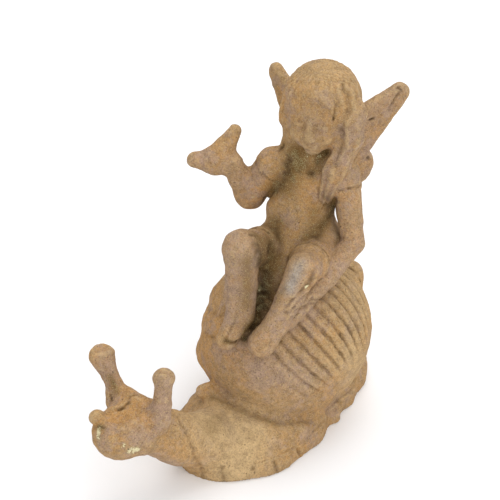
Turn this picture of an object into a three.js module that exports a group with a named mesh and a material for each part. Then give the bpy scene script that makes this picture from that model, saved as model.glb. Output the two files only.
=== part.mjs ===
// A sand-cast iron figure: a winged fairy who sits on the shell of a snail, in one casting.
//
// The casting is modelled the way it was first sculpted, as lumps that flow into each other.
// Each lump is a function that gives the distance to its surface, a smooth minimum blends it
// with what is already there, and the surface of the sum is then cut into flat facets.
//
// Frame: millimetres, +Z up. The snail crawls towards -Y and its left side is +X. The origin
// is on the flat underside of the snail's foot, straight below the middle of its shell.

import * as THREE from 'three'

// Driving dimensions, in millimetres.
const HEIGHT = 125 // from the underside to the crown of the fairy's head
const UNIT = HEIGHT / 100 // the pose and proportions below are hundredths of the height
const FACET_CELL = 1.25 // edge of the grid cells that the surface is traced through
const FACETS = 9600 // triangles that are left on the finished casting
const EVEN_FACETS = 3e-3 // how much the reduction prefers short edges on flat stretches
const LEAST_TURN = 0.3 // cosine of the most that a facet may turn when edges merge
const NEEDLE = 0.06 // height over length below which a facet counts as a needle
const FLAT_WITHIN = 0.06 // points this close to the underside are laid on it

// The snail's foot, the skirt that the casting stands on.
const FOOT_FRONT = -41.7
const FOOT_WIDEST = -19
const FOOT_TAIL = 31
const FOOT_MIDDLE = 1.9
const FOOT_HALF_WIDTH = 18.4
const FOOT_RIM_HEIGHT = 3.4
const FOOT_WAVES = 13
const FOOT_WAVE_DEPTH = 0.8
const FOOT_EDGE = 0.45 // share of the rim's height that is rounded over

// The shell: a ball whose last turn swells towards the front, ribbed round a tilted pole.
const SHELL_CENTRE = [1, 0, 23]
const SHELL_RADIUS = 22.3
const SHELL_POLE = [0.7, 0.23, -0.67]
const SHELL_LIP_SWELL = 3
const SHELL_SWELL_WAY = [0, -0.8, -0.6] // the way in which the last turn swells most
const RIB_COUNT = 42
const RIB_HEIGHT = 0.32
const RIBS_START = [-6, -24] // degrees round the pole between which the first ribs rise
const RIBS_END = [150, 179] // and the last ones fade
const RIBS_UPPER = [0.8, 0.45] // shares of the radius along the pole where ribs rise
const RIBS_LOWER = [-0.9, -0.5]

// The fairy turns her trunk and face a little towards her left.
const TRUNK_TURN = 30
const FACE_TURN = 24
const WING_THICKNESS = 2.7
const WING_EDGE = 0.42 // share of its thickness that rounds a wing's rim
const WING_REACH = 25
const HEAD_CENTRE = [2.1, 11.2, 88.3]

// The joints of the fairy's limbs.
const SHOULDER = { right: [-7.9, 4.2, 69.6], left: [9.2, 12.6, 69.2] }
const ELBOW = { right: [-13.7, 1.7, 59.3], left: [14.8, 9.4, 52] }
const WRIST = { right: [-16.4, -2.8, 69.6], left: [13.9, -1, 46.7] }
const FINGERTIP = { right: [-24.9, -7.4, 69.6], left: [11.6, -13.4, 38.4] }
const THUMB_TIP = [-17.9, 0.6, 77.4]
const HIP = { right: [-3.4, 0.6, 47], left: [6.7, 5.1, 47.7] }
const KNEE = { right: [-1, -16.6, 57], left: [13, -8.8, 52.6] }
const ANKLE = { right: [1.3, -20, 38.8], left: [10.6, -17, 38.4] }
const TOE = { right: [1.1, -25.4, 34], left: [9.4, -21.2, 34.4] }

const degrees = (angle) => (angle * Math.PI) / 180
const clamp = (value, low, high) => Math.min(high, Math.max(low, value))
const mix = (from, to, share) => from + (to - from) * share
const along = (from, to, share) => from.map((value, axis) => mix(value, to[axis], share))
const shifted = (point, offset) => point.map((value, axis) => value + offset[axis])
const dot = (a, b) => a[0] * b[0] + a[1] * b[1] + a[2] * b[2]
const cross = (a, b) => [
  a[1] * b[2] - a[2] * b[1],
  a[2] * b[0] - a[0] * b[2],
  a[0] * b[1] - a[1] * b[0],
]
const unit = (vector) => vector.map((value) => value / Math.hypot(...vector))

// 0 below the first edge, 1 above the second, with a smooth rise between them.
function rise(first, second, value) {
  const share = clamp((value - first) / (second - first), 0, 1)
  return share * share * (3 - 2 * share)
}

// Three axes that turn with a body: its left, its back and up, for a turn away from -Y.
function turnedAxes(turn) {
  const angle = degrees(turn)
  return [
    [Math.cos(angle), Math.sin(angle), 0],
    [-Math.sin(angle), Math.cos(angle), 0],
    [0, 0, 1],
  ]
}

// The point at the given distances to the left, to the back and up from a centre.
function offsetBy(centre, axes, left, back, up) {
  return centre.map((value, axis) => (
    value + left * axes[0][axis] + back * axes[1][axis] + up * axes[2][axis]
  ))
}

// A lump is a distance function with the box that it reaches and the width of its blend.
const lumps = []

function addLump(low, high, blend, distance, carve = false) {
  lumps.push({ low, high, blend, distance, carve })
}

// A ball drawn out to three radii along three axes.
function egg(centre, radii, axes, blend, carve = false) {
  const reach = Math.max(...radii)
  const deepest = -Math.min(...radii)
  const distance = (x, y, z) => {
    const dx = x - centre[0]
    const dy = y - centre[1]
    const dz = z - centre[2]
    let scaled = 0
    let steep = 0
    for (let axis = 0; axis < 3; axis += 1) {
      const way = axes[axis]
      const share = (dx * way[0] + dy * way[1] + dz * way[2]) / radii[axis]
      scaled += share ** 2
      steep += (share / radii[axis]) ** 2
    }
    const length = Math.sqrt(scaled)
    return steep > 0 ? (length * (length - 1)) / Math.sqrt(steep) : deepest
  }
  addLump(centre.map((c) => c - reach), centre.map((c) => c + reach), blend, distance, carve)
}

// A rounded rod from one point to another whose radius changes evenly.
function limb(from, to, fromRadius, toRadius, blend) {
  const span = to.map((value, axis) => value - from[axis])
  const spanSquared = dot(span, span)
  const reach = Math.max(fromRadius, toRadius)
  const distance = (x, y, z) => {
    const dx = x - from[0]
    const dy = y - from[1]
    const dz = z - from[2]
    const share = clamp((dx * span[0] + dy * span[1] + dz * span[2]) / spanSquared, 0, 1)
    const mx = dx - share * span[0]
    const my = dy - share * span[1]
    const mz = dz - share * span[2]
    return Math.sqrt(mx * mx + my * my + mz * mz) - mix(fromRadius, toRadius, share)
  }
  const low = from.map((value, axis) => Math.min(value, to[axis]) - reach)
  const high = from.map((value, axis) => Math.max(value, to[axis]) + reach)
  addLump(low, high, blend, distance)
}

// Rods through a row of points, each with its own radius.
function limbs(points, radii, blend) {
  for (let step = 1; step < points.length; step += 1) {
    limb(points[step - 1], points[step], radii[step - 1], radii[step], blend)
  }
}

const UPRIGHT = turnedAxes(0)

// The flat skirt: half as wide at each place along it as two joined curves say, with a
// wavy rim.
function footHalfWidth(y) {
  const forward = clamp((FOOT_WIDEST - y) / (FOOT_WIDEST - FOOT_FRONT), 0, 1)
  const backward = clamp((y - FOOT_WIDEST) / (FOOT_TAIL - FOOT_WIDEST), 0, 1)
  return FOOT_HALF_WIDTH * Math.sqrt(1 - forward ** 2) * (1 - backward ** 2) ** 0.8
}

function footRim() {
  const middle = FOOT_MIDDLE
  const low = [middle - FOOT_HALF_WIDTH - 1, FOOT_FRONT - 1, -1]
  const high = [middle + FOOT_HALF_WIDTH + 1, FOOT_TAIL + 1, FOOT_RIM_HEIGHT]
  const distance = (x, y, z) => {
    const angle = Math.atan2(y, x - middle)
    const wave = FOOT_WAVE_DEPTH * Math.cos(FOOT_WAVES * angle)
    const inside = y > FOOT_FRONT && y < FOOT_TAIL
    const past = Math.max(FOOT_FRONT - y, y - FOOT_TAIL, 0)
    const sideways = Math.abs(x - middle) - (inside ? footHalfWidth(y) : 0)
    const outline = Math.hypot(Math.max(sideways, 0), past) + Math.min(sideways, 0) * 0.7 - wave
    const rounding = FOOT_RIM_HEIGHT * FOOT_EDGE
    const across = Math.max(outline + rounding, 0)
    const up = Math.max(z - FOOT_RIM_HEIGHT + rounding, 0)
    const within = Math.min(Math.max(outline + rounding, z - FOOT_RIM_HEIGHT + rounding), 0)
    return Math.hypot(across, up) + within - rounding
  }
  addLump(low, high, 1, distance)
}

function snailBody() {
  footRim()
  egg([2.6, -17, 1.6], [17, 23.4, 11.2], UPRIGHT, 3)
  egg([2.4, 6, 3], [14, 21, 11], UPRIGHT, 4)
  limbs(
    [[2.4, -27, 5.8], [2.4, -37, 8.4], [1, -45, 13.2], [-3.2, -52.4, 20.2]],
    [7.6, 6.6, 6, 6.9],
    4,
  )
}

// The snail's head: a blunt snout, a hollow brow between the two long horns, and two
// short feelers below them.
function snailHead() {
  const axes = turnedAxes(-14)
  const centre = [-4, -55.2, 22]
  const place = (left, back, up) => offsetBy(centre, axes, left, back, up)
  egg(place(0, -2, -0.6), [7.8, 9, 6.6], axes, 3)
  egg(place(-0.4, -6.2, -1.4), [6.2, 5, 5], axes, 2.5)
  egg(place(0.2, -5.5, 9.2), [5.2, 7.5, 5.4], axes, 1.6, true)
  limb(place(-6.4, 2.2, 3.6), place(5.8, 3.8, 3.6), 2.4, 2.5, 1.5)
  egg(place(-4.1, -8.6, 3.5), [2.2, 2.1, 2.1], axes, 1)
  egg(place(3.6, -9, 1.6), [2, 2, 2], axes, 1.2)
  limbs(
    [place(-8.2, 0.6, 2.5), place(-11.6, 0.6, 7.2), place(-15.3, 0.5, 11.8)],
    [3.6, 1.8, 3.5],
    1.6,
  )
  egg(place(-17, 0.4, 17.3), [7, 6, 3.4], axes, 0.6, true)
  limbs([place(5.2, 4, 2.6), place(3.8, 6.4, 11)], [2.7, 2.3], 1.6)
  egg(place(3.4, 6.8, 13.6), [2.8, 2.8, 2.9], axes, 1)
}

// The shell is a ball that swells along the snail's way of going, so that its last turn
// stands over the foot with a lip. Ribs run over its top and left flank like a fan, from
// the low pole behind; the front of the last turn is smooth.
function shell() {
  const pole = unit(SHELL_POLE)
  const start = unit(cross(pole, [0, 0, 1]))
  const side = cross(pole, start)
  const reach = SHELL_RADIUS + SHELL_LIP_SWELL + 1
  const distance = (x, y, z) => {
    const way = [x - SHELL_CENTRE[0], y - SHELL_CENTRE[1], z - SHELL_CENTRE[2]]
    const length = Math.sqrt(dot(way, way))
    if (length < SHELL_RADIUS * 0.8 || length > reach) {
      return length - SHELL_RADIUS
    }
    way[0] /= length
    way[1] /= length
    way[2] /= length
    const forward = rise(0.3, 1, dot(way, SHELL_SWELL_WAY))
    const round = Math.atan2(dot(way, side), dot(way, start))
    const turn = round / degrees(1)
    const height = dot(way, pole)
    const front = rise(...RIBS_START, turn) + rise(...RIBS_END, turn)
    const band = rise(...RIBS_UPPER, height) * rise(...RIBS_LOWER, height)
    const crest = 0.5 + 0.5 * Math.cos(RIB_COUNT * round)
    const rib = RIB_HEIGHT * (1 - 2 * (1 - crest) ** 2) * Math.min(front, 1) * band
    return length - SHELL_RADIUS - SHELL_LIP_SWELL * forward - rib
  }
  addLump(
    SHELL_CENTRE.map((value) => value - reach),
    SHELL_CENTRE.map((value) => value + reach),
    3,
    distance,
  )
  // Three knuckles of the last turn stand out on the snail's right shoulder.
  const knuckles = [[-13.6, -8, 30.8, 4.6], [-12.6, -11.3, 24.9, 5.4], [-10.5, -14, 17.5, 6.9]]
  for (const [x, y, z, radius] of knuckles) {
    egg([x, y, z], [radius, radius, radius * 0.92], UPRIGHT, 1)
  }
  egg([6.4, 17.4, 33.6], [5.4, 4.6, 4.4], UPRIGHT, 2)
  // The lip is a low welt round the mouth of the shell.
  const lip = [[-5.4, -25.2, 13.8], [1, -28, 11.8], [11, -24.6, 8.8], [17.6, -16, 6.8], [18.4, -7, 5.6]]
  limbs(lip, [1.5, 1.5, 1.5, 1.3, 1.1], 3)
  egg([-6.6, -26.2, 13.6], [1.8, 1.8, 1.6], UPRIGHT, 2.2)
}

// A broad flat hand with the thumb held away from the fingers.
function openHand() {
  const wrist = WRIST.right
  const palm = along(wrist, FINGERTIP.right, 0.42)
  limb(wrist, palm, 2.7, 3.3, 1.5)
  limb(palm, FINGERTIP.right, 3.2, 2.1, 1.2)
  limb(shifted(wrist, [-3.2, -0.8, 1.6]), THUMB_TIP, 3.4, 1.8, 1.6)
  limb(along(palm, THUMB_TIP, 0.5), along(wrist, FINGERTIP.right, 0.8), 1.6, 1.5, 1.6)
}

function arms() {
  limbs([SHOULDER.right, ELBOW.right, WRIST.right], [4.3, 3.9, 2.7], 1.6)
  openHand()
  limbs([SHOULDER.left, ELBOW.left, WRIST.left, FINGERTIP.left], [3.9, 2.9, 3.2, 2.6], 0.9)
  for (const finger of [-1, 0, 1]) {
    const root = shifted(along(WRIST.left, FINGERTIP.left, 0.3), [0.5 * finger, 0, 1.3 * finger])
    const tip = shifted(FINGERTIP.left, [0.5 * finger, 0.9 * finger, 1.1 * finger])
    limb(root, tip, 1.25, 0.95, 0.5)
  }
}

function legs() {
  limbs([HIP.right, KNEE.right], [6, 4.6], 2)
  egg(KNEE.right, [4.8, 4.8, 4.8], UPRIGHT, 1)
  limbs([KNEE.right, ANKLE.right], [4.6, 3.8], 1.2)
  limb(ANKLE.right, TOE.right, 3.5, 2.7, 1)
  limbs([HIP.left, KNEE.left], [5.6, 4.3], 2)
  limbs([KNEE.left, ANKLE.left], [4.2, 3], 1)
  limb(ANKLE.left, TOE.left, 3.2, 3.7, 1.4)
}

// The trunk wears a close plain tunic that ends over the lap.
function trunk() {
  const axes = turnedAxes(TRUNK_TURN)
  egg([0.6, 8.2, 66.4], [8.4, 5.9, 10], axes, 2)
  egg([-0.2, 5.8, 57], [8.6, 5.8, 7.6], axes, 3)
  egg([1.6, 5.2, 48.6], [11, 8.6, 8.2], axes, 3)
  const collar = [1.2, 9.6, 72.8]
  limb(SHOULDER.right, collar, 4, 4, 2)
  limb(SHOULDER.left, collar, 3.8, 4, 2)
  limb(collar, shifted(HEAD_CENTRE, [0, 0, -6]), 3.6, 3.6, 2)
  limb([1.4, 0, 47.4], [3.4, -7.6, 45.4], 5.6, 4, 3)
}

// A calm, worn face under a smooth cap of hair. One thick lock falls in front of her left
// shoulder, a thin one on her right, and the rest down her back.
function head() {
  const axes = turnedAxes(FACE_TURN)
  const place = (left, back, up) => offsetBy(HEAD_CENTRE, axes, left, back, up)
  egg(place(0, 0.8, 0.9), [10, 10.2, 10.2], axes, 1.5)
  egg(place(-0.6, -9.8, -1.4), [6.8, 3.4, 8.6], axes, 1.4, true)
  egg(place(-0.6, -2.7, -2.6), [7.2, 7.4, 9], axes, 0.8)
  limb(place(-0.6, -9.3, -1.2), place(-0.6, -9.9, -4.2), 0.7, 1.1, 1)
  const atShoulder = [[9.2, 8.5, 73], [8.1, 6, 65]]
  limbs(
    [place(6.4, -2.6, 5.8), place(8.4, -3.2, 0), place(8.4, -3.6, -6.4), ...atShoulder],
    [3.2, 3.5, 3.1, 3, 1.6],
    2,
  )
  limbs(
    [place(-6.4, -3.4, 5), place(-7.6, -2.8, -3), place(-6.4, -2, -9.6), [-5.4, 5.6, 71.6]],
    [1.8, 2.4, 2.5, 2],
    2,
  )
  limbs([place(0, 4.6, -2), place(0.4, 4.4, -14), [-0.6, 14, 64]], [8, 5.6, 3.4], 2.4)
}

// A wing is a flat plate of three lobes, joined to the back and swept backwards.
function wing(root, sweep, tipRise) {
  const outward = turnedAxes(sweep)[0]
  const through = turnedAxes(sweep)[1]
  const lobes = [
    { from: [4.5, 1.6], to: [20.6, 13.4 + tipRise], radii: [8.6, 3.1] },
    { from: [3, -4], to: [8.2, -5.4], radii: [6, 5.7] },
    { from: [2, -9], to: [6, -12], radii: [5, 4.5] },
  ]
  const rounding = WING_THICKNESS * WING_EDGE
  const distance = (x, y, z) => {
    const offset = [x - root[0], y - root[1], z - root[2]]
    const out = dot(offset, outward)
    let outline = Infinity
    for (const { from, to, radii } of lobes) {
      const span = [to[0] - from[0], to[1] - from[1]]
      const past = [out - from[0], offset[2] - from[1]]
      const onto = past[0] * span[0] + past[1] * span[1]
      const share = clamp(onto / (span[0] ** 2 + span[1] ** 2), 0, 1)
      const miss = Math.hypot(past[0] - share * span[0], past[1] - share * span[1])
      outline = Math.min(outline, miss - mix(radii[0], radii[1], share))
    }
    const across = outline + rounding
    const depth = Math.abs(dot(offset, through)) - WING_THICKNESS / 2 + rounding
    return Math.hypot(Math.max(across, 0), Math.max(depth, 0))
      + Math.min(Math.max(across, depth), 0) - rounding
  }
  const low = root.map((value) => value - WING_REACH)
  const high = root.map((value) => value + WING_REACH)
  addLump(low, high, 1.6, distance)
}

function fairy() {
  trunk()
  legs()
  arms()
  wing([1.4, 14.4, 71], 65, 0)
  wing([-0.4, 13.6, 71], 161, 0.4)
  head()
}

// The blended distance field on a grid of cubes, in hundredths of the height.
function traceField(cell) {
  const low = [0, 1, 2].map((axis) => Math.min(...lumps.map((lump) => lump.low[axis])) - cell * 2)
  const high = [0, 1, 2].map((axis) => Math.max(...lumps.map((lump) => lump.high[axis])) + cell * 2)
  // The nodes lie half a cell off the whole numbers, so that none is on the underside.
  const first = low.map((value) => Math.floor(value / cell) + 0.5)
  const count = high.map((value, axis) => Math.ceil(value / cell - first[axis]) + 1)
  const field = new Float64Array(count[0] * count[1] * count[2]).fill(1e3)
  for (const { low: from, high: to, blend, distance, carve } of lumps) {
    const start = from.map((value, axis) => (
      clamp(Math.floor((value - blend) / cell - first[axis]) - 1, 0, count[axis] - 1)
    ))
    const end = to.map((value, axis) => (
      clamp(Math.ceil((value + blend) / cell - first[axis]) + 1, 0, count[axis] - 1)
    ))
    for (let k = start[2]; k <= end[2]; k += 1) {
      for (let j = start[1]; j <= end[1]; j += 1) {
        for (let i = start[0]; i <= end[0]; i += 1) {
          const at = i + count[0] * (j + count[1] * k)
          const gap = distance((i + first[0]) * cell, (j + first[1]) * cell, (k + first[2]) * cell)
          const near = Math.max(blend - Math.abs(carve ? -gap - field[at] : gap - field[at]), 0)
          const eased = (near * near) / (4 * blend)
          field[at] = carve
            ? Math.max(field[at], -gap) + eased
            : Math.min(field[at], gap) - eased
        }
      }
    }
  }
  // Everything below the flat underside is cut away.
  for (let k = 0; k < count[2]; k += 1) {
    const below = -(k + first[2]) * cell
    for (let at = count[0] * count[1] * k; at < count[0] * count[1] * (k + 1); at += 1) {
      field[at] = Math.max(field[at], below)
    }
  }
  return { field, first, count, cell }
}

// Each cube is six tetrahedra round its long diagonal, which meet those of its neighbours
// face to face. The surface cuts a tetrahedron in a triangle or in a four-sided patch.
function polygonise({ field, first, count, cell }) {
  const corner = [0, 1, 2, 3, 4, 5, 6, 7].map((bits) => [bits & 1, (bits >> 1) & 1, bits >> 2])
  const paths = [[1, 3], [3, 2], [2, 6], [6, 4], [4, 5], [5, 1]]
  const step = [1, count[0], count[0] * count[1]]
  const offset = corner.map((bits) => dot(bits, step))
  const vertexAt = new Map()
  const positions = []
  const triangles = []
  const cut = (a, b) => {
    const [lower, upper] = a < b ? [a, b] : [b, a]
    const key = lower * 8 + offset.indexOf(upper - lower)
    let index = vertexAt.get(key)
    if (index === undefined) {
      index = positions.length / 3
      vertexAt.set(key, index)
      const share = clamp(field[lower] / (field[lower] - field[upper]), 0.02, 0.98)
      const row = Math.floor(lower / count[0])
      const place = [lower % count[0], row % count[1], Math.floor(row / count[1])]
      const move = corner[offset.indexOf(upper - lower)]
      const point = place.map((value, axis) => value + first[axis] + move[axis] * share)
      positions.push(...point.map((value) => value * cell))
    }
    return index
  }
  const cubes = (count[2] - 1) * step[2]
  for (let at = 0; at < cubes; at += 1) {
    const i = at % count[0]
    const j = Math.floor(at / count[0]) % count[1]
    if (i === count[0] - 1 || j === count[1] - 1) {
      continue
    }
    const inside = offset.map((shift) => field[at + shift] < 0)
    if (inside.every((value) => value === inside[0])) {
      continue
    }
    for (const [second, third] of paths) {
      const tetra = [0, second, third, 7]
      const within = tetra.filter((bits) => inside[bits])
      const without = tetra.filter((bits) => !inside[bits])
      if (within.length === 0 || without.length === 0) {
        continue
      }
      // An even order of the four corners keeps the facets pointing outwards.
      const order = [...within, ...without].map((bits) => tetra.indexOf(bits))
      let swaps = 0
      for (let a = 0; a < 4; a += 1) {
        for (let b = a + 1; b < 4; b += 1) {
          swaps += order[a] > order[b] ? 1 : 0
        }
      }
      const turned = swaps % 2 === 1
      const edge = (a, b) => cut(at + offset[a], at + offset[b])
      let ring
      if (within.length === 1) {
        ring = without.map((bits) => edge(within[0], bits))
      } else if (without.length === 1) {
        ring = within.map((bits) => edge(bits, without[0]))
      } else {
        ring = [
          edge(within[0], without[0]),
          edge(within[0], without[1]),
          edge(within[1], without[1]),
          edge(within[1], without[0]),
        ]
      }
      if (turned) {
        ring.reverse()
      }
      for (let last = 2; last < ring.length; last += 1) {
        triangles.push(ring[0], ring[last - 1], ring[last])
      }
    }
  }
  return { positions, triangles }
}

// Edges are merged, cheapest first, until the wanted number of facets is left. What an edge
// costs is how far the merged point lies from the planes of the facets round it.
function simplify({ positions, triangles }, wanted) {
  const points = Float64Array.from(positions)
  const corners = Int32Array.from(triangles)
  const pointCount = points.length / 3
  const facetCount = corners.length / 3
  const alive = new Uint8Array(facetCount).fill(1)
  const around = Array.from({ length: pointCount }, () => [])
  corners.forEach((vertex, at) => around[vertex].push(Math.floor(at / 3)))

  // Twice the area of a facet as a vector, with one of its corners moved to a new place.
  const normal = [0, 0, 0]
  const spot = [0, 0, 0, 0, 0, 0, 0, 0, 0]
  const measure = (facet, vertex, x, y, z) => {
    for (let side = 0; side < 3; side += 1) {
      const corner = corners[3 * facet + side]
      const moved = corner === vertex
      spot[3 * side] = moved ? x : points[3 * corner]
      spot[3 * side + 1] = moved ? y : points[3 * corner + 1]
      spot[3 * side + 2] = moved ? z : points[3 * corner + 2]
    }
    const ax = spot[3] - spot[0]
    const ay = spot[4] - spot[1]
    const az = spot[5] - spot[2]
    const bx = spot[6] - spot[0]
    const by = spot[7] - spot[1]
    const bz = spot[8] - spot[2]
    normal[0] = ay * bz - az * by
    normal[1] = az * bx - ax * bz
    normal[2] = ax * by - ay * bx
    const third = (bx - ax) ** 2 + (by - ay) ** 2 + (bz - az) ** 2
    return Math.max(ax * ax + ay * ay + az * az, bx * bx + by * by + bz * bz, third)
  }

  // A quadric holds the ten sums of the squared distance to many planes.
  const quadrics = new Float64Array(10 * pointCount)
  for (let facet = 0; facet < facetCount; facet += 1) {
    measure(facet, -1, 0, 0, 0)
    const doubled = Math.hypot(...normal)
    if (doubled > 0) {
      const plane = normal.map((value) => value / doubled)
      plane.push(-(plane[0] * spot[0] + plane[1] * spot[1] + plane[2] * spot[2]))
      for (let side = 0; side < 3; side += 1) {
        let slot = 10 * corners[3 * facet + side]
        for (let row = 0; row < 4; row += 1) {
          for (let column = row; column < 4; column += 1) {
            quadrics[slot] += plane[row] * plane[column] * doubled
            slot += 1
          }
        }
      }
    }
  }
  const q = new Float64Array(10)
  const errorAt = (x, y, z) => (
    q[0] * x * x + 2 * q[1] * x * y + 2 * q[2] * x * z + 2 * q[3] * x
    + q[4] * y * y + 2 * q[5] * y * z + 2 * q[6] * y
    + q[7] * z * z + 2 * q[8] * z + q[9]
  )

  // The point with the least error, or an end or the middle of the edge where that is safer.
  const best = [0, 0, 0]
  const findBest = (a, b) => {
    for (let slot = 0; slot < 10; slot += 1) {
      q[slot] = quadrics[10 * a + slot] + quadrics[10 * b + slot]
    }
    let least = Infinity
    const tryPoint = (x, y, z) => {
      const error = errorAt(x, y, z)
      if (error < least) {
        least = error
        best[0] = x
        best[1] = y
        best[2] = z
      }
    }
    const [ax, ay, az] = [points[3 * a], points[3 * a + 1], points[3 * a + 2]]
    const [bx, by, bz] = [points[3 * b], points[3 * b + 1], points[3 * b + 2]]
    const lengthSquared = (ax - bx) ** 2 + (ay - by) ** 2 + (az - bz) ** 2
    tryPoint((ax + bx) / 2, (ay + by) / 2, (az + bz) / 2)
    tryPoint(ax, ay, az)
    tryPoint(bx, by, bz)
    const m0 = q[4] * q[7] - q[5] * q[5]
    const m1 = q[2] * q[5] - q[1] * q[7]
    const m2 = q[1] * q[5] - q[2] * q[4]
    const size = q[0] * m0 + q[1] * m1 + q[2] * m2
    if (Math.abs(size) > 1e-4 * (q[0] + q[4] + q[7]) ** 3) {
      const m3 = q[0] * q[7] - q[2] * q[2]
      const m4 = q[1] * q[2] - q[0] * q[5]
      const m5 = q[0] * q[4] - q[1] * q[1]
      const x = -(m0 * q[3] + m1 * q[6] + m2 * q[8]) / size
      const y = -(m1 * q[3] + m3 * q[6] + m4 * q[8]) / size
      const z = -(m2 * q[3] + m4 * q[6] + m5 * q[8]) / size
      if ((x - ax) ** 2 + (y - ay) ** 2 + (z - az) ** 2 < 4 * lengthSquared) {
        tryPoint(x, y, z)
      }
    }
    return Math.max(least, 0) + EVEN_FACETS * lengthSquared
  }

  // A binary heap of edges; an entry is stale once one of its points has moved.
  const moves = new Int32Array(pointCount)
  const heap = []
  const offer = (a, b) => {
    const entry = { cost: findBest(a, b), a, b, movesA: moves[a], movesB: moves[b] }
    let at = heap.length
    heap.push(entry)
    while (at > 0 && heap[(at - 1) >> 1].cost > entry.cost) {
      heap[at] = heap[(at - 1) >> 1]
      at = (at - 1) >> 1
    }
    heap[at] = entry
  }
  const takeCheapest = () => {
    const top = heap[0]
    const last = heap.pop()
    let at = 0
    let child = 1
    while (child < heap.length) {
      if (child + 1 < heap.length && heap[child + 1].cost < heap[child].cost) {
        child += 1
      }
      if (heap[child].cost >= last.cost) {
        break
      }
      heap[at] = heap[child]
      at = child
      child = 2 * at + 1
    }
    if (heap.length > 0) {
      heap[at] = last
    }
    return top
  }

  // A merge must not fold a facet over, nor squeeze it to a needle.
  const keepsFacets = (vertex, other) => {
    for (const facet of around[vertex]) {
      const from = 3 * facet
      if (corners[from] === other || corners[from + 1] === other || corners[from + 2] === other) {
        continue
      }
      const oldLongest = measure(facet, -1, 0, 0, 0)
      const [ox, oy, oz] = normal
      const newLongest = measure(facet, vertex, best[0], best[1], best[2])
      const oldSize = Math.sqrt(ox * ox + oy * oy + oz * oz)
      const newSize = Math.sqrt(normal[0] ** 2 + normal[1] ** 2 + normal[2] ** 2)
      const turn = ox * normal[0] + oy * normal[1] + oz * normal[2]
      if (turn < LEAST_TURN * oldSize * newSize) {
        return false
      }
      if (newSize < NEEDLE * newLongest && newSize * oldLongest < oldSize * newLongest) {
        return false
      }
    }
    return true
  }

  const neighbours = (vertex) => {
    const found = []
    for (const facet of around[vertex]) {
      for (let side = 0; side < 3; side += 1) {
        const corner = corners[3 * facet + side]
        if (corner !== vertex && !found.includes(corner)) {
          found.push(corner)
        }
      }
    }
    return found
  }

  for (let facet = 0; facet < facetCount; facet += 1) {
    for (let side = 0; side < 3; side += 1) {
      const a = corners[3 * facet + side]
      const b = corners[3 * facet + ((side + 1) % 3)]
      if (a < b) {
        offer(a, b)
      }
    }
  }
  let left = facetCount
  while (left > wanted && heap.length > 0) {
    const { a, b, movesA, movesB } = takeCheapest()
    if (moves[a] !== movesA || moves[b] !== movesB) {
      continue
    }
    const besideB = neighbours(b)
    const shared = neighbours(a).filter((vertex) => besideB.includes(vertex))
    findBest(a, b)
    if (shared.length !== 2 || !keepsFacets(a, b) || !keepsFacets(b, a)) {
      continue
    }
    points.set(best, 3 * a)
    quadrics.set(q, 10 * a)
    for (const facet of around[b]) {
      const from = 3 * facet
      if (corners[from] === a || corners[from + 1] === a || corners[from + 2] === a) {
        alive[facet] = 0
        left -= 1
      } else {
        for (let side = 0; side < 3; side += 1) {
          if (corners[from + side] === b) {
            corners[from + side] = a
          }
        }
        around[a].push(facet)
      }
    }
    around[b] = []
    moves[b] += 1
    moves[a] += 1
    for (const vertex of [a, ...shared]) {
      around[vertex] = around[vertex].filter((facet) => alive[facet])
    }
    for (const vertex of neighbours(a)) {
      offer(a, vertex)
    }
  }

  const newNumber = new Map()
  const keptPoints = []
  const keptCorners = []
  for (let at = 0; at < corners.length; at += 1) {
    if (alive[Math.floor(at / 3)]) {
      const vertex = corners[at]
      if (!newNumber.has(vertex)) {
        newNumber.set(vertex, newNumber.size)
        keptPoints.push(points[3 * vertex], points[3 * vertex + 1], points[3 * vertex + 2])
      }
      keptCorners.push(newNumber.get(vertex))
    }
  }
  return { positions: keptPoints, triangles: keptCorners }
}

snailBody()
shell()
snailHead()
fairy()

const traced = polygonise(traceField(FACET_CELL / UNIT))
const reduced = simplify(traced, FACETS)
const geometry = new THREE.BufferGeometry()
geometry.setAttribute(
  'position',
  new THREE.Float32BufferAttribute(reduced.positions.map((share, at) => {
    const place = share * UNIT
    return at % 3 === 2 && place < FLAT_WITHIN ? 0 : place
  }), 3),
)
geometry.setIndex(reduced.triangles)
geometry.computeVertexNormals()

const rustyIron = new THREE.MeshStandardMaterial({ color: '#a97f55', roughness: 0.9, metalness: 0.2 })
const casting = new THREE.Mesh(geometry, rustyIron)
casting.name = 'fairy_on_snail_casting'

const figure = new THREE.Group()
figure.add(casting)

export default figure
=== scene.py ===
"""The finish of a rusted, sand-cast iron fairy who rides a snail, on its packed casting.

The casting's facets are traded for a fine skin. The skin starts as a copy of the casting,
is remeshed evenly, drawn onto a smooth union of lumps that numpy works out from the casting's
own proportions, and then carved: strands of hair, grooves between the ribs, fingers, toes, the
tunic's edges, cracks, pits and chips. Rust, dirt and wear follow the carving, and a bump map
adds the grain of the sand mould. Painted shade darkens the hollows, the creases and the gaps
between the parts, and painted highlight lightens the ridges and the front of the left shin.

Lengths in the lumps are hundredths of the figure's height; the mesh is in metres.
"""
import math

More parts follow.
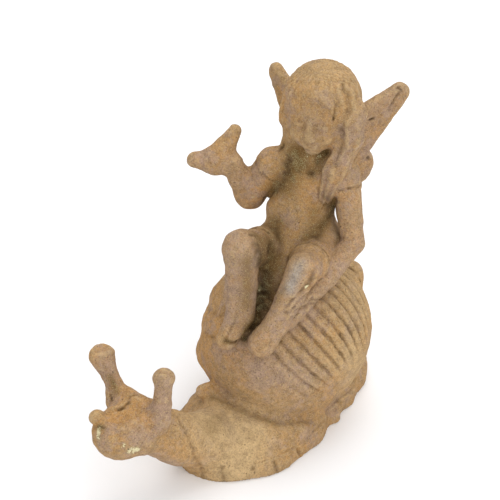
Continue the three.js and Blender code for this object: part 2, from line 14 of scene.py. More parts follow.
import bpy
import numpy as np
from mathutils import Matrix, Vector


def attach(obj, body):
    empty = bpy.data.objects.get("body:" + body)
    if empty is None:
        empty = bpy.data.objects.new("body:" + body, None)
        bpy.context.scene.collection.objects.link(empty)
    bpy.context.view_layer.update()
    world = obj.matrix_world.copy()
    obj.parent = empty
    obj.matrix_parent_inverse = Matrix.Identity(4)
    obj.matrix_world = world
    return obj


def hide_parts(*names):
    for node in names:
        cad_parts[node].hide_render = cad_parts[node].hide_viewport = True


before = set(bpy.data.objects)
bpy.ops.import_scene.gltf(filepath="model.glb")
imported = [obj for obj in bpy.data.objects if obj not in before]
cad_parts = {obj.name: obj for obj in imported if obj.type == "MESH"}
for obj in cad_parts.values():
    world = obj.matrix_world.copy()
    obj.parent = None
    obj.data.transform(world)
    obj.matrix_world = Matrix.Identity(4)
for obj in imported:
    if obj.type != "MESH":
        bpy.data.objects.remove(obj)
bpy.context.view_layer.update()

# The figure's size and the casting's node.
HEIGHT = 0.125
UNIT = HEIGHT / 100
CASTING = "fairy_on_snail_casting"

# The skin: the edge of its even mesh in metres, how often it is drawn onto the lumps and how
# far at a time, and the steps for slopes and for paths. Points this near the floor lie on it,
# and the fine relief starts above the next height.
SKIN_EDGE = 0.00066
WELD_REACH = 1e-6
SKIN_PASSES = 4
SKIN_STEP = 0.8
SKIN_EASING = 0.5
SLOPE_STEP = 0.05
PATH_STEP = 0.8
ON_FLOOR = 0.12
RELIEF_FROM = 0.3
FAR = 1e3
TINY = 1e-6

# A direction that no limb or lock runs along, and large odd numbers that scatter the cells
# and the seeds of the noise over 32 bits.
OFF_AXIS = (0.3, 0.9, 0.1)
CELL_STRIDES = np.array([73856093, 19349663, 83492791])
SEED_STRIDE = 2654435761
SCATTER = (1274126177, 2246822519)
LOW_BITS = 0xFFFFFFFF

# Proportions, in hundredths of the height. The snail crawls towards -Y.
FOOT_FRONT = -41.7
FOOT_WIDEST = -19
FOOT_TAIL = 31
FOOT_MIDDLE = 1.9
FOOT_HALF_WIDTH = 18.4
FOOT_RIM_HEIGHT = 3.4
FOOT_WAVES = 13
FOOT_WAVE_DEPTH = 0.8
FOOT_EDGE = 0.45
SHELL_CENTRE = (1, 0, 23)
SHELL_RADIUS = 22.3
SHELL_POLE = (0.7, 0.23, -0.67)
SHELL_LIP_SWELL = 3
SHELL_SWELL_WAY = np.array((0, -0.8, -0.6))
SHELL_SWELL_FROM = 0.3
KNUCKLES = ((-13.6, -8, 30.8, 4.6), (-12.6, -11.3, 24.9, 5.4), (-10.5, -14, 17.5, 6.9))
KNUCKLE_HEIGHT = 0.92
LIP = ((-5.4, -25.2, 13.8), (1, -28, 11.8), (11, -24.6, 8.8), (17.6, -16, 6.8), (18.4, -7, 5.6))
RIB_COUNT = 42
RIB_HEIGHT = 0.32
RIBS_START = (-6, -24)
RIBS_END = (150, 179)
RIBS_UPPER = (0.8, 0.45)
RIBS_LOWER = (-0.9, -0.5)
TRUNK_TURN = 30
FACE_TURN = 24
WING_THICKNESS = 2.7
WING_EDGE = 0.42
WING_REACH = 25
HEAD_CENTRE = (2.1, 11.2, 88.3)
FACE_MIDDLE = -0.6
SHOULDER = {"right": (-7.9, 4.2, 69.6), "left": (9.2, 12.6, 69.2)}
ELBOW = {"right": (-13.7, 1.7, 59.3), "left": (14.8, 9.4, 52)}
WRIST = {"right": (-16.4, -2.8, 69.6), "left": (13.9, -1, 46.7)}
FINGERTIP = {"right": (-24.9, -7.4, 69.6), "left": (11.6, -13.4, 38.4)}
THUMB_TIP = (-17.9, 0.6, 77.4)
HIP = {"right": (-3.4, 0.6, 47), "left": (6.7, 5.1, 47.7)}
THIGH_RADIUS = {"right": 6, "left": 5.6}
KNEE = {"right": (-1, -16.6, 57), "left": (13, -8.8, 52.6)}
ANKLE = {"right": (1.3, -20, 38.8), "left": (10.6, -17, 38.4)}
TOE = {"right": (1.1, -25.4, 34), "left": (9.4, -21.2, 34.4)}

# The camera stands where the photograph was taken from. The middle of the shell shows at
# this place of its 500 x 500 frame.
VIEW_TURN = math.radians(40)
VIEW_RISE = math.radians(35)
VIEW_DISTANCE = 5.8 * HEIGHT
PHOTO_WIDTH = 500
PHOTO_PIXELS_PER_HEIGHT = 372.7
SHELL_IN_PHOTO = (288, 328)
SENSOR_WIDTH = 36
CAMERA_REACH = 20
FLOOR_REACH = 1.5
FLOOR_WHITE = (0.93, 0.93, 0.94, 1)
SKY_WHITE = (1, 1, 1, 1)
SKY_STRENGTH = 0.76


def rise(first, second, value):
    """0 below the first edge and 1 above the second, with a smooth cubic between."""
    share = np.clip((value - first) / (second - first), 0, 1)
    return share * share * (3 - 2 * share)


def mix(low, high, share):
    """The value that lies the given share of the way from low to high."""
    return low + (high - low) * share


def along(start, end, share):
    """The point that lies the given share of the way between two points."""
    return mix(np.asarray(start, float), np.asarray(end, float), share)


def shifted(point, offset):
    """A point moved by an offset."""
    return np.asarray(point, float) + np.asarray(offset, float)


def turned_axes(turn):
    """Rows that point to a body's left, its back and up, for a turn away from -Y in degrees."""
    angle = math.radians(turn)
    return np.array([
        [math.cos(angle), math.sin(angle), 0],
        [-math.sin(angle), math.cos(angle), 0],
        [0, 0, 1],
    ])


UPRIGHT = turned_axes(0)


class Sculpture:
    """A row of lumps, each one blended into, or carved out of, what came before it."""

    def __init__(self):
        self.lumps = []

    def add(self, low, high, blend, distance, carve=False):
        """A lump is a distance function, the box it reaches and the width of its blend."""
        low, high = np.asarray(low, float), np.asarray(high, float)
        self.lumps.append((low - blend, high + blend, blend, distance, carve))

    def egg(self, centre, radii, axes, blend, carve=False):
        """A ball drawn out along three axes: |q| (|q| - 1) / |q / radii|, q = offset / radii."""
        centre, radii = np.asarray(centre, float), np.asarray(radii, float)

        def distance(points):
            share = (points - centre) @ axes.T / radii
            length = np.sqrt((share ** 2).sum(1))
            steep = np.sqrt(((share / radii) ** 2).sum(1))
            return length * (length - 1) / np.maximum(steep, TINY)

        reach = radii.max()
        self.add(centre - reach, centre + reach, blend, distance, carve)

    def limb(self, start, end, start_radius, end_radius, blend, carve=False):
        """A rounded rod: the distance to a line less a radius that changes evenly."""
        start, end = np.asarray(start, float), np.asarray(end, float)
        span = end - start

        def distance(points):
            offset = points - start
            share = np.clip(offset @ span / (span @ span), 0, 1)
            miss = offset - share[:, None] * span
            return np.sqrt((miss ** 2).sum(1)) - mix(start_radius, end_radius, share)

        reach = max(start_radius, end_radius)
        low, high = np.minimum(start, end) - reach, np.maximum(start, end) + reach
        self.add(low, high, blend, distance, carve)

    def limbs(self, points, radii, blend):
        """Rods through a row of points, each with its own radius."""
        for step in range(1, len(points)):
            self.limb(points[step - 1], points[step], radii[step - 1], radii[step], blend)

    def distance(self, points):
        """The smooth minimum of all lumps, cut off below the flat underside."""
        field = np.full(len(points), FAR)
        for low, high, blend, distance, carve in self.lumps:
            near = np.flatnonzero(((points > low) & (points < high)).all(1))
            if len(near) == 0:
                continue
            gap = distance(points[near])
            gap = -gap if carve else gap
            before = field[near]
            eased = np.maximum(blend - np.abs(gap - before), 0) ** 2 / (4 * blend)
            if carve:
                field[near] = np.maximum(before, gap) + eased
            else:
                field[near] = np.minimum(before, gap) - eased
        return np.maximum(field, -points[:, 2])


def foot_half_width(y):
    """A rounded front and a tapering tail, joined where the foot is widest."""
    forward = np.clip((FOOT_WIDEST - y) / (FOOT_WIDEST - FOOT_FRONT), 0, 1)
    backward = np.clip((y - FOOT_WIDEST) / (FOOT_TAIL - FOOT_WIDEST), 0, 1)
    return FOOT_HALF_WIDTH * np.sqrt(1 - forward ** 2) * (1 - backward ** 2) ** 0.8


def foot_rim(figure):
    """The flat skirt: its plan outline with a wavy edge, rounded over at the top."""
    middle = FOOT_MIDDLE

    def distance(points):
        x, y, z = points.T
        wave = FOOT_WAVE_DEPTH * np.cos(FOOT_WAVES * np.arctan2(y, x - middle))
        inside = (y > FOOT_FRONT) & (y < FOOT_TAIL)
        past = np.maximum(np.maximum(FOOT_FRONT - y, y - FOOT_TAIL), 0)
        sideways = np.abs(x - middle) - np.where(inside, foot_half_width(y), 0)
        outline = np.hypot(np.maximum(sideways, 0), past) + np.minimum(sideways, 0) * 0.7 - wave
        rounding = FOOT_RIM_HEIGHT * FOOT_EDGE
        across = outline + rounding
        up = z - FOOT_RIM_HEIGHT + rounding
        outside = np.hypot(np.maximum(across, 0), np.maximum(up, 0))
        return outside + np.minimum(np.maximum(across, up), 0) - rounding

    low = (middle - FOOT_HALF_WIDTH - 1, FOOT_FRONT - 1, -1)
    high = (middle + FOOT_HALF_WIDTH + 1, FOOT_TAIL + 1, FOOT_RIM_HEIGHT)
    figure.add(low, high, 1, distance)


def snail_body(figure):
    """The skirt, the body under the shell and the neck that lifts the head."""
    foot_rim(figure)
    figure.egg((2.6, -17, 1.6), (17, 23.4, 11.2), UPRIGHT, 3)
    figure.egg((2.4, 6, 3), (14, 21, 11), UPRIGHT, 4)
    neck = [(2.4, -27, 5.8), (2.4, -37, 8.4), (1, -45, 13.2), (-3.2, -52.4, 20.2)]
    figure.limbs(neck, (7.6, 6.6, 6, 6.9), 4)


def offset_by(centre, axes):
    """A function that gives the point at distances to the left, to the back and up."""
    centre = np.asarray(centre, float)
    return lambda left, back, up: centre + left * axes[0] + back * axes[1] + up * axes[2]


SNAIL_HEAD_AXES = turned_axes(-14)
SNAIL_HEAD_CENTRE = (-4, -55.2, 22)


def snail_head(figure):
    """A blunt snout, a hollow brow between two long horns, and two short feelers."""
    axes = SNAIL_HEAD_AXES
    place = offset_by(SNAIL_HEAD_CENTRE, axes)
    figure.egg(place(0, -2, -0.6), (7.8, 9, 6.6), axes, 3)
    figure.egg(place(-0.4, -6.2, -1.4), (6.2, 5, 5), axes, 2.5)
    figure.egg(place(0.2, -5.5, 9.2), (5.2, 7.5, 5.4), axes, 1.6, carve=True)
    figure.limb(place(-6.4, 2.2, 3.6), place(5.8, 3.8, 3.6), 2.4, 2.5, 1.5)
    figure.egg(place(-4.1, -8.6, 3.5), (2.2, 2.1, 2.1), axes, 1)
    figure.egg(place(3.6, -9, 1.6), (2, 2, 2), axes, 1.2)
    right_horn = [place(-8.2, 0.6, 2.5), place(-11.6, 0.6, 7.2), place(-15.3, 0.5, 11.8)]
    figure.limbs(right_horn, (3.6, 1.8, 3.5), 1.6)
    figure.egg(place(-17, 0.4, 17.3), (7, 6, 3.4), axes, 0.6, carve=True)
    figure.limbs([place(5.2, 4, 2.6), place(3.8, 6.4, 11)], (2.7, 2.3), 1.6)
    figure.egg(place(3.4, 6.8, 13.6), (2.8, 2.8, 2.9), axes, 1)


def shell_frame():
    """The pole that the ribs fan out from, and two directions square to it."""
    pole = np.array(SHELL_POLE) / np.linalg.norm(SHELL_POLE)
    start = np.cross(pole, (0, 0, 1))
    start /= np.linalg.norm(start)
    return pole, start, np.cross(pole, start)


def rib_pattern(way):
    """1 on each rib and 0 between them, at even turns round the pole, and where ribs show."""
    pole, start, side = shell_frame()
    round_pole = np.arctan2(way @ side, way @ start)
    turn = np.degrees(round_pole)
    height = way @ pole
    front = rise(*RIBS_START, turn) + rise(*RIBS_END, turn)
    band = rise(*RIBS_UPPER, height) * rise(*RIBS_LOWER, height)
    return 0.5 + 0.5 * np.cos(RIB_COUNT * round_pole), front * band


def rib_relief(way):
    """Broad round ridges with narrow grooves: 1 - 2 (1 - crest) squared."""
    crest, weight = rib_pattern(way)
    return (1 - 2 * (1 - crest) ** 2) * weight


def shell(figure):
    """A ball that swells forwards and down to the lip, with ribs, knuckles and a welt."""
    centre = np.array(SHELL_CENTRE, float)

    def distance(points):
        offset = points - centre
        length = np.maximum(np.sqrt((offset ** 2).sum(1)), TINY)
        way = offset / length[:, None]
        forward = rise(SHELL_SWELL_FROM, 1, way @ SHELL_SWELL_WAY)
        return length - SHELL_RADIUS - SHELL_LIP_SWELL * forward - RIB_HEIGHT * rib_relief(way)

    reach = SHELL_RADIUS + SHELL_LIP_SWELL + 1
    figure.add(centre - reach, centre + reach, 3, distance)
    for x, y, z, radius in KNUCKLES:
        figure.egg((x, y, z), (radius, radius, radius * KNUCKLE_HEIGHT), UPRIGHT, 1)
    figure.egg((6.4, 17.4, 33.6), (5.4, 4.6, 4.4), UPRIGHT, 2)
    figure.limbs(LIP, (1.5, 1.5, 1.5, 1.3, 1.1), 3)
    figure.egg((-6.6, -26.2, 13.6), (1.8, 1.8, 1.6), UPRIGHT, 2.2)


def arms(figure):
    """The right hand is held out flat with its thumb away; the left lies on the shell."""
    figure.limbs([SHOULDER["right"], ELBOW["right"], WRIST["right"]], (4.3, 3.9, 2.7), 1.6)
    wrist = WRIST["right"]
    palm = along(wrist, FINGERTIP["right"], 0.42)
    figure.limb(wrist, palm, 2.7, 3.3, 1.5)
    figure.limb(palm, FINGERTIP["right"], 3.2, 2.1, 1.2)
    figure.limb(shifted(wrist, (-3.2, -0.8, 1.6)), THUMB_TIP, 3.4, 1.8, 1.6)
    web = along(wrist, FINGERTIP["right"], 0.8)
    figure.limb(along(palm, THUMB_TIP, 0.5), web, 1.6, 1.5, 1.6)
    left_arm = [SHOULDER["left"], ELBOW["left"], WRIST["left"], FINGERTIP["left"]]
    figure.limbs(left_arm, (3.9, 2.9, 3.2, 2.6), 0.9)
    for finger in (-1, 0, 1):
        root = along(WRIST["left"], FINGERTIP["left"], 0.3)
        root = shifted(root, (0.5 * finger, 0, 1.3 * finger))
        tip = shifted(FINGERTIP["left"], (0.5 * finger, 0.9 * finger, 1.1 * finger))
        figure.limb(root, tip, 1.25, 0.95, 0.5)


def legs(figure):
    """Bent knees, blocky shins and feet set down on the front of the shell."""
    figure.limbs([HIP["right"], KNEE["right"]], (THIGH_RADIUS["right"], 4.6), 2)
    figure.egg(KNEE["right"], (4.8, 4.8, 4.8), UPRIGHT, 1)
    figure.limbs([KNEE["right"], ANKLE["right"]], (4.6, 3.8), 1.2)
    figure.limb(ANKLE["right"], TOE["right"], 3.5, 2.7, 1)
    figure.limbs([HIP["left"], KNEE["left"]], (THIGH_RADIUS["left"], 4.3), 2)
    figure.limbs([KNEE["left"], ANKLE["left"]], (4.2, 3), 1)
    figure.limb(ANKLE["left"], TOE["left"], 3.2, 3.7, 1.4)


def trunk(figure):
    """Chest, waist and hips under a close plain tunic, shoulders, neck and lap."""
    axes = turned_axes(TRUNK_TURN)
    figure.egg((0.6, 8.2, 66.4), (8.4, 5.9, 10), axes, 2)
    figure.egg((-0.2, 5.8, 57), (8.6, 5.8, 7.6), axes, 3)
    figure.egg((1.6, 5.2, 48.6), (11, 8.6, 8.2), axes, 3)
    collar = (1.2, 9.6, 72.8)
    figure.limb(SHOULDER["right"], collar, 4, 4, 2)
    figure.limb(SHOULDER["left"], collar, 3.8, 4, 2)
    figure.limb(collar, shifted(HEAD_CENTRE, (0, 0, -6)), 3.6, 3.6, 2)
    figure.limb((1.4, 0, 47.4), (3.4, -7.6, 45.4), 5.6, 4, 3)


FACE_AXES = turned_axes(FACE_TURN)
ON_HEAD = offset_by(HEAD_CENTRE, FACE_AXES)
LEFT_LOCK = [
    ON_HEAD(6.4, -2.6, 5.8), ON_HEAD(8.4, -3.2, 0), ON_HEAD(8.4, -3.6, -6.4),
    np.array((9.2, 8.5, 73)), np.array((8.1, 6, 65)),
]
RIGHT_LOCK = [
    ON_HEAD(-6.4, -3.4, 5), ON_HEAD(-7.6, -2.8, -3), ON_HEAD(-6.4, -2, -9.6),
    np.array((-5.4, 5.6, 71.6)),
]
BACK_HAIR = [ON_HEAD(0, 4.6, -2), ON_HEAD(0.4, 4.4, -14), np.array((-0.6, 14, 64))]


def head(figure):
    """A smooth cap of hair hollowed out for the face, two locks in front, the rest behind."""
    axes = FACE_AXES
    figure.egg(ON_HEAD(0, 0.8, 0.9), (10, 10.2, 10.2), axes, 1.5)
    figure.egg(ON_HEAD(FACE_MIDDLE, -9.8, -1.4), (6.8, 3.4, 8.6), axes, 1.4, carve=True)
    figure.egg(ON_HEAD(FACE_MIDDLE, -2.7, -2.6), (7.2, 7.4, 9), axes, 0.8)
    figure.limb(ON_HEAD(FACE_MIDDLE, -9.3, -1.2), ON_HEAD(FACE_MIDDLE, -9.9, -4.2), 0.7, 1.1, 1)
    figure.limbs(LEFT_LOCK, (3.2, 3.5, 3.1, 3, 1.6), 2)
    figure.limbs(RIGHT_LOCK, (1.8, 2.4, 2.5, 2), 2)
    figure.limbs(BACK_HAIR, (8, 5.6, 3.4), 2.4)


def wing(figure, root, sweep, tip_rise):
    """A flat plate: the least of three lobes' outlines in its plane, rounded at the edge."""
    root = np.asarray(root, float)
    outward, through, _ = turned_axes(sweep)
    lobes = (
        ((4.5, 1.6), (20.6, 13.4 + tip_rise), (8.6, 3.1)),
        ((3, -4), (8.2, -5.4), (6, 5.7)),
        ((2, -9), (6, -12), (5, 4.5)),
    )
    rounding = WING_THICKNESS * WING_EDGE

    def distance(points):
        offset = points - root
        plane = np.stack((offset @ outward, offset[:, 2]), 1)
        outline = np.full(len(points), FAR)
        for start, end, radii in lobes:
            start, span = np.array(start), np.subtract(end, start)
            share = np.clip((plane - start) @ span / (span @ span), 0, 1)
            miss = plane - start - share[:, None] * span
            outline = np.minimum(outline, np.hypot(*miss.T) - mix(*radii, share))
        across = outline + rounding
        depth = np.abs(offset @ through) - WING_THICKNESS / 2 + rounding
        outside = np.hypot(np.maximum(across, 0), np.maximum(depth, 0))
        return outside + np.minimum(np.maximum(across, depth), 0) - rounding

    figure.add(root - WING_REACH, root + WING_REACH, 1.6, distance)


def sculpt():
    """All lumps in the order in which the casting blends them."""
    figure = Sculpture()
    snail_body(figure)
    shell(figure)
    snail_head(figure)
    trunk(figure)
    legs(figure)
    arms(figure)
    wing(figure, (1.4, 14.4, 71), 65, 0)
    wing(figure, (-0.4, 13.6, 71), 161, 0.4)
    head(figure)
    return figure


def noise(points, size, seed):
    """Smooth noise from -1 to 1: random values at the corners of cubes, eased between."""
    scaled = points / size
    cell = np.floor(scaled)
    share = scaled - cell
    share = share * share * (3 - 2 * share)
    cell = cell.astype(np.int64)
    total = np.zeros(len(points))
    for corner in range(8):
        bits = np.array([corner & 1, (corner >> 1) & 1, corner >> 2])
        mixed = (cell + bits) @ CELL_STRIDES + seed * SEED_STRIDE
        mixed = (mixed ^ (mixed >> 13)) * SCATTER[0] & LOW_BITS
        mixed = (mixed ^ (mixed >> 16)) * SCATTER[1] & LOW_BITS
        value = (mixed >> 8) / float(1 << 23) - 1
        weight = np.where(bits, share, 1 - share).prod(1)
        total += weight * value
    return total


# The tunic stands this far off the body and ends at this share of the thighs. Balls at the
# neck and the shoulders cut its neckline and armholes. Its edges are lines with a width, a
# depth and a darkness.
CLOTH = 0.38
CLOTH_BLEND = 0.25
CLOTH_BOX = ((-12, -14, 38), (16, 18, 78))
HEM_SHARE = 0.6
HEM_RADIUS = 5.4
THIGH_END_RADIUS = 4.6
TUNIC_OPENINGS = (
    (np.array((2.6, 4.8, 77)), 5.6),
    (np.array((-8.6, 4.6, 70)), 4.9),
    (np.array((10, 12.6, 69.6)), 4.9),
)
NECKLINE = [(-3.2, 4, 74.8), (-1.2, 3, 72.2), (2.4, 3, 71.2), (5.8, 5.2, 72.2), (8, 7.4, 74.8)]
ARMHOLE_SHARE = 0.16
ARMHOLE_RADIUS = 4.2
TUNIC_EDGE = (0.36, 0.3, 0.5)
RING_POINTS = 13

# Strands run from the crown over the cap, and along each lock by its path, its radius, how
# many go round it, the seed of their waves and, in front, their depth.
CAP_STRANDS = 34
CAP_STRAND_DEPTH = 0.1
CAP_STRAND_WAVE = 1.6
CAP_INSIDE = (8.8, 9.6)
CAP_OUTSIDE = (12.2, 11.2)
CROWN_FADE = (0.5, 4)
FACE_EDGE = (8.6, 7.4)
LOCK_EDGE = (1.25, 1.02)
LOCK_STRAND_WAVE = 1.2
LOCK_STRANDS = (
    (LEFT_LOCK, 3.6, 7, 12, 0.24),
    (RIGHT_LOCK, 2.5, 6, 13, 0.2),
)
BACK_STRANDS = (BACK_HAIR, 5.4, 13, 14)
BACK_STRAND_DEPTH = 0.22
BACK_STRANDS_FROM = 10

# Wear: the grooves between the ribs, the lumpy bumps of the mould by size, height and seed,
# which are eased round the face, and the raggedness of every carved line. A ridge is a point
# off the mean of its neighbours, and a hollow has lumps in front of it within these reaches,
# each with its weight; ridges get painted highlight and wear, creases and hollows painted shade.
RIB_GROOVE_DEPTH = 0.34
RIB_GROOVE_STAIN = 0.6
RIB_GROOVE_SHARPNESS = 9
RIB_GROOVE_EDGE = (1.6, 0.9)
BUMPS = ((2.6, 0.15, 1), (1.2, 0.14, 2))
FACE_EASING = 0.75
FACE_EASING_REACH = 6
RAGGED_SIZE = 1.3
RAGGED_REACH = 0.3
RAGGED_GROOVE_REACH = 0.25
WORN_SIZE = 1.1
RIDGE_GAIN = 8
HOLLOW_REACHES = ((0.8, 0.3), (1.8, 0.35), (4, 0.35))

# Colours of the rust and the dirt, and of the painted shade and highlight, as linear shares
# of red, green and blue.
TAN = (0.355, 0.222, 0.105)
OCHRE_RUST = (0.41, 0.222, 0.082)
PURPLE_BROWN = (0.33, 0.225, 0.168)
PALE_TAN = (0.5, 0.35, 0.185)
# Painted highlight: a bluish-grey sheen along the front of the left shin and on the right knee.
HIGHLIGHT_GREY = (0.335, 0.3, 0.265)
# Dark rust specks, and painted shade in creases.
DARK_RUST_AND_CREASE_SHADE = (0.15, 0.08, 0.035)
SAND_GRAIN = (0.62, 0.46, 0.21)
# Painted shade in hollows and between the parts, with some dirt.
OLIVE_BROWN = (0.165, 0.092, 0.026)
# Dirt in grooves and pits, and painted shade in the gaps between parts.
DEEP_DIRT_AND_SHADE = (0.04, 0.02, 0.006)
BARE_CHIP = (0.74, 0.66, 0.4)
MOSS = (0.33, 0.28, 0.14)
RUST_ROUGHNESS = 0.94
RUST_SPECULAR = 0.2
GRAIN_STRENGTH = 0.9
GRAIN_DEPTH = 0.0005

# Grooves, cracks, pits and dirt: a path, its width, the depth of the cut and the darkness. The
# darkness is partly painted shade, between the legs, on the lap and chest, under the left arm and
# under the shell's lip.
STROKES = (
    ([(9.8, 7.0, 92.9), (9.9, 6.3, 91.3), (9.5, 6.4, 89.0)], 0.36, 0.45, 1),
    ([
        (11.2, 7.9, 86.3), (11.0, 8.0, 83.8), (11.3, 6.7, 79.5), (11.3, 6.0, 77.8),
        (11.6, 5.3, 76.2),
    ], 0.6, 0.3, 0.45),
    ([(9.7, 10.4, 98.1), (10.5, 9.0, 97.1)], 0.4, 0.25, 0.6),
    ([(12.1, 9.5, 96.7), (12.4, 9.0, 95.1)], 0.4, 0.25, 0.6),
    ([
        (10.3, 12.3, 98.3), (12.8, 9.3, 94.6), (12.1, 8.3, 91.4), (11.9, 8.0, 87.0),
        (11.6, 7.8, 82.4), (11.9, 6.7, 79.1),
    ], 0.6, 0.3, 0.12),
    ([
        (11.5, 12.4, 97.9), (13.5, 9.6, 92.5), (12.9, 8.2, 88.4), (12.6, 8.0, 82.2),
        (13.8, 8.7, 79.0),
    ], 0.7, -0.3, 0),
    ([(-5.6, 3.8, 74.9), (-4.9, 3.9, 76.5)], 0.5, 0.5, 1),
    ([(-2.1, 3.0, 73.4), (-1.3, 2.1, 70.7), (-2.9, 1.7, 68.8), (-4.2, 1.8, 64.3)], 1.5, 0.15, 0.75),
    ([(5.1, 8.0, 76.0), (4.9, 6.0, 73.7), (4.4, 4.7, 71.5)], 1.5, 0.1, 0.6),
    ([(-0.3, 4.1, 74.5), (2.2, 4.2, 73.7), (3.9, 4.6, 72.4)], 2, 0, 0.35),
    ([
        (10.8, 31.9, 86.9), (11.3, 32.5, 86.2), (11.1, 32.0, 85.2), (10.8, 31.3, 84.2),
        (10.4, 30.6, 82.7), (9.9, 29.4, 81.0),
    ], 0.45, 0.4, 0.7),
    ([(8.7, 26.8, 81.5)], 0.5, 0.4, 0.9),
    ([(8.0, 25.4, 79.5), (7.6, 24.5, 79.4)], 0.45, 0.4, 0.9),
    ([(8.9, 27.3, 78.3)], 0.5, 0.4, 0.9),
    ([(7.6, 24.5, 67.8)], 0.6, 0.4, 0.9),
    ([(-7.4, -0.4, 69.0), (-6.4, 0.2, 67.4)], 0.35, 0.3, 0.7),
    ([(-1.7, 1.7, 68.1), (-5.1, 2.2, 64.2), (-9.5, 1.6, 57.9)], 0.6, 0.4, 0.6),
    ([
        (1.3, -15.5, 62.3), (1.8, -14.2, 61.4), (2.9, -14.5, 60.4), (4.0, -15.2, 57.6),
    ], 0.6, 0.3, 0.6),
    ([(3.8, -16.2, 59.5), (3.7, -15.4, 54.4)], 1.6, 0, 0.8),
    ([(3.4, -9.5, 57), (3.6, -11.5, 52), (3.2, -13, 46.5)], 2.2, 0, 0.75),
    ([(0.5, -10.9, 43.5), (3.0, -13.3, 41.3), (3.5, -16.3, 38.5), (3.9, -18.4, 35.8)], 3, 0, 0.95),
    ([(-2.4, -2.1, 55.6), (1.7, -5.9, 55.3)], 1.8, 0, 0.6),
    ([(11.0, 3.3, 66.9), (7.7, 8.6, 59.9), (7.7, 6.5, 57.4), (8.4, 1.4, 55.3)], 1.6, 0, 0.65),
    ([(15.8, -13.1, 49.1), (16.6, -11.2, 51.3), (17.4, -10.6, 54.1)], 0.8, 0.2, 0.6),
    ([
        (13.4, -16.6, 43.6), (14.3, -15.9, 43.8), (15.3, -13.9, 45.9), (16.1, -10.9, 47.8),
    ], 0.35, 0.45, 0.45),
    ([
        (13.5, -14.4, 40.2), (14.1, -13.1, 40.8), (14.6, -10.5, 42.4), (15.3, -7.7, 44.1),
    ], 0.35, 0.45, 0.45),
    ([(13.5, -16.5, 45.0), (14.6, -14.7, 47.4), (15.8, -12.6, 49.9)], 0.35, 0.4, 0.4),
    ([(15.0, -1.0, 40.9), (14.9, -8.8, 42.5), (14.4, -15.7, 41.7)], 0.7, 0.3, 0.4),
    ([(13.1, 0.8, 42.2), (14.5, -8.9, 43.5), (14.9, -14.1, 43.7)], 0.4, 0.3, 0.4),
    ([
        (2.5, -27.4, 35.2), (3.8, -25.5, 34.3), (3.1, -20.6, 32.5), (4.2, -18.7, 34.8),
    ], 0.6, 0.4, 0.9),
    ([(2.3, -27.0, 35.8), (2.6, -24.0, 39.5), (2.9, -23.2, 41.2)], 0.4, 0.25, 0.4),
    ([
        (-3.4, -27.6, 15.3), (0.4, -26.5, 14.9), (4.8, -25.2, 13.8), (8.9, -23.7, 12.3),
        (12.7, -21.7, 11.0), (16.3, -18.7, 9.7), (19.7, -12.1, 8.0),
    ], 0.9, 0.12, 0.3),
    ([
        (2.5, -45.9, 21.5), (5.8, -46.7, 18.6), (7.9, -46.1, 12.1), (6.9, -42.0, 3.5),
    ], 0.7, 0.45, 0.25),
    ([
        (-7.3, -58.1, 26.7), (-6.5, -56.2, 27.1), (-6.4, -54.7, 27.6), (-7.2, -53.4, 27.8),
    ], 0.4, 0.4, 0.9),
    ([(-12.6, -55.3, 27.1), (-11.5, -55.8, 26.1)], 0.4, 0.3, 0.8),
    ([(-6.8, -52.2, 28.1)], 0.5, 0.3, 0.9),
    ([(-12.9, -53.3, 30.1), (-12.2, -53.7, 28.9)], 0.5, 0.2, 0.7),
    ([(-8.0, -64.6, 24.9), (-6.2, -64.5, 25.5)], 0.4, 0.3, 0.9),
    ([(6.0, -41.0, 4.2), (6.2, -41.4, 1.2)], 0.7, 0.5, 0.3),
    ([(10.5, -38.5, 4.3), (10.9, -39.0, 2.8), (11.2, -38.9, 1.2)], 0.7, 0.6, 0.4),
    ([(16.0, -32.9, 3.4), (16.3, -32.9, 1.2)], 0.7, 0.6, 0.4),
    ([(19.0, -27.2, 3.6), (19.9, -27.2, 1.0)], 0.6, 0.5, 0.4),
    ([(20.2, -19.1, 3.3), (20.4, -18.4, 1.0)], 0.6, 0.5, 0.4),
    ([(-13.9, -15.1, 30.2), (-7.5, -18.0, 33.3)], 0.8, 0.45, 0.3),
    ([(-11.7, -19.3, 26.4), (-6.6, -21.5, 28.5)], 0.8, 0.45, 0.3),
)

# Soft patches of each shade: a path, its reach and its strength.
PURPLE = (
    ([KNEE["right"], ANKLE["right"]], 6, 1),
    ([KNEE["left"], ANKLE["left"], TOE["left"]], 4.5, 0.8),
    ([ELBOW["left"], WRIST["left"], FINGERTIP["left"]], 5, 0.9),
    ([SHOULDER["left"], ELBOW["left"]], 4.5, 0.6),
    ([ELBOW["right"], WRIST["right"]], 4, 0.7),
    ([FINGERTIP["right"]], 3, 1),
    ([(-13.8, -52.8, 31.4), (-15.6, -52.3, 33.4)], 4, 0.8),
    ([(3.0, -51.8, 35.0), (3.9, -52.9, 29.3)], 4.5, 1),
    ([(2.0, -60.3, 24.0)], 3.6, 1),
    ([(1, -58, 15), (2, -47, 8)], 3.5, 0.9),
    ([(10.8, 31.9, 86.9), (7, 24, 79)], 5, 0.6),
    ([(8, 25, 70)], 4, 1),
    ([LEFT_LOCK[1], LEFT_LOCK[2], LEFT_LOCK[3]], 3.2, 0.8),
    ([(5, -26, 30), (12, -22, 28), (18, -16, 24)], 6, 0.8),
    ([ON_HEAD(0, -9, -1)], 4, 0.5),
)
OCHRE = (
    ([SHOULDER["right"], ELBOW["right"]], 5, 0.9),
    ([(-12, -16, 30), (-12, -20, 20)], 8, 0.8),
    ([(-7, -58, 26), (0, -54, 27)], 5, 1),
    ([(7, -47, 12), (7, -43, 3)], 3, 0.9),
    ([KNEE["left"]], 6, 0.5),
    ([(22, 2, 26), (20, -4, 10)], 6, 0.6),
    ([(0.6, -20.5, 38.5), TOE["right"]], 4.5, 0.6),
)
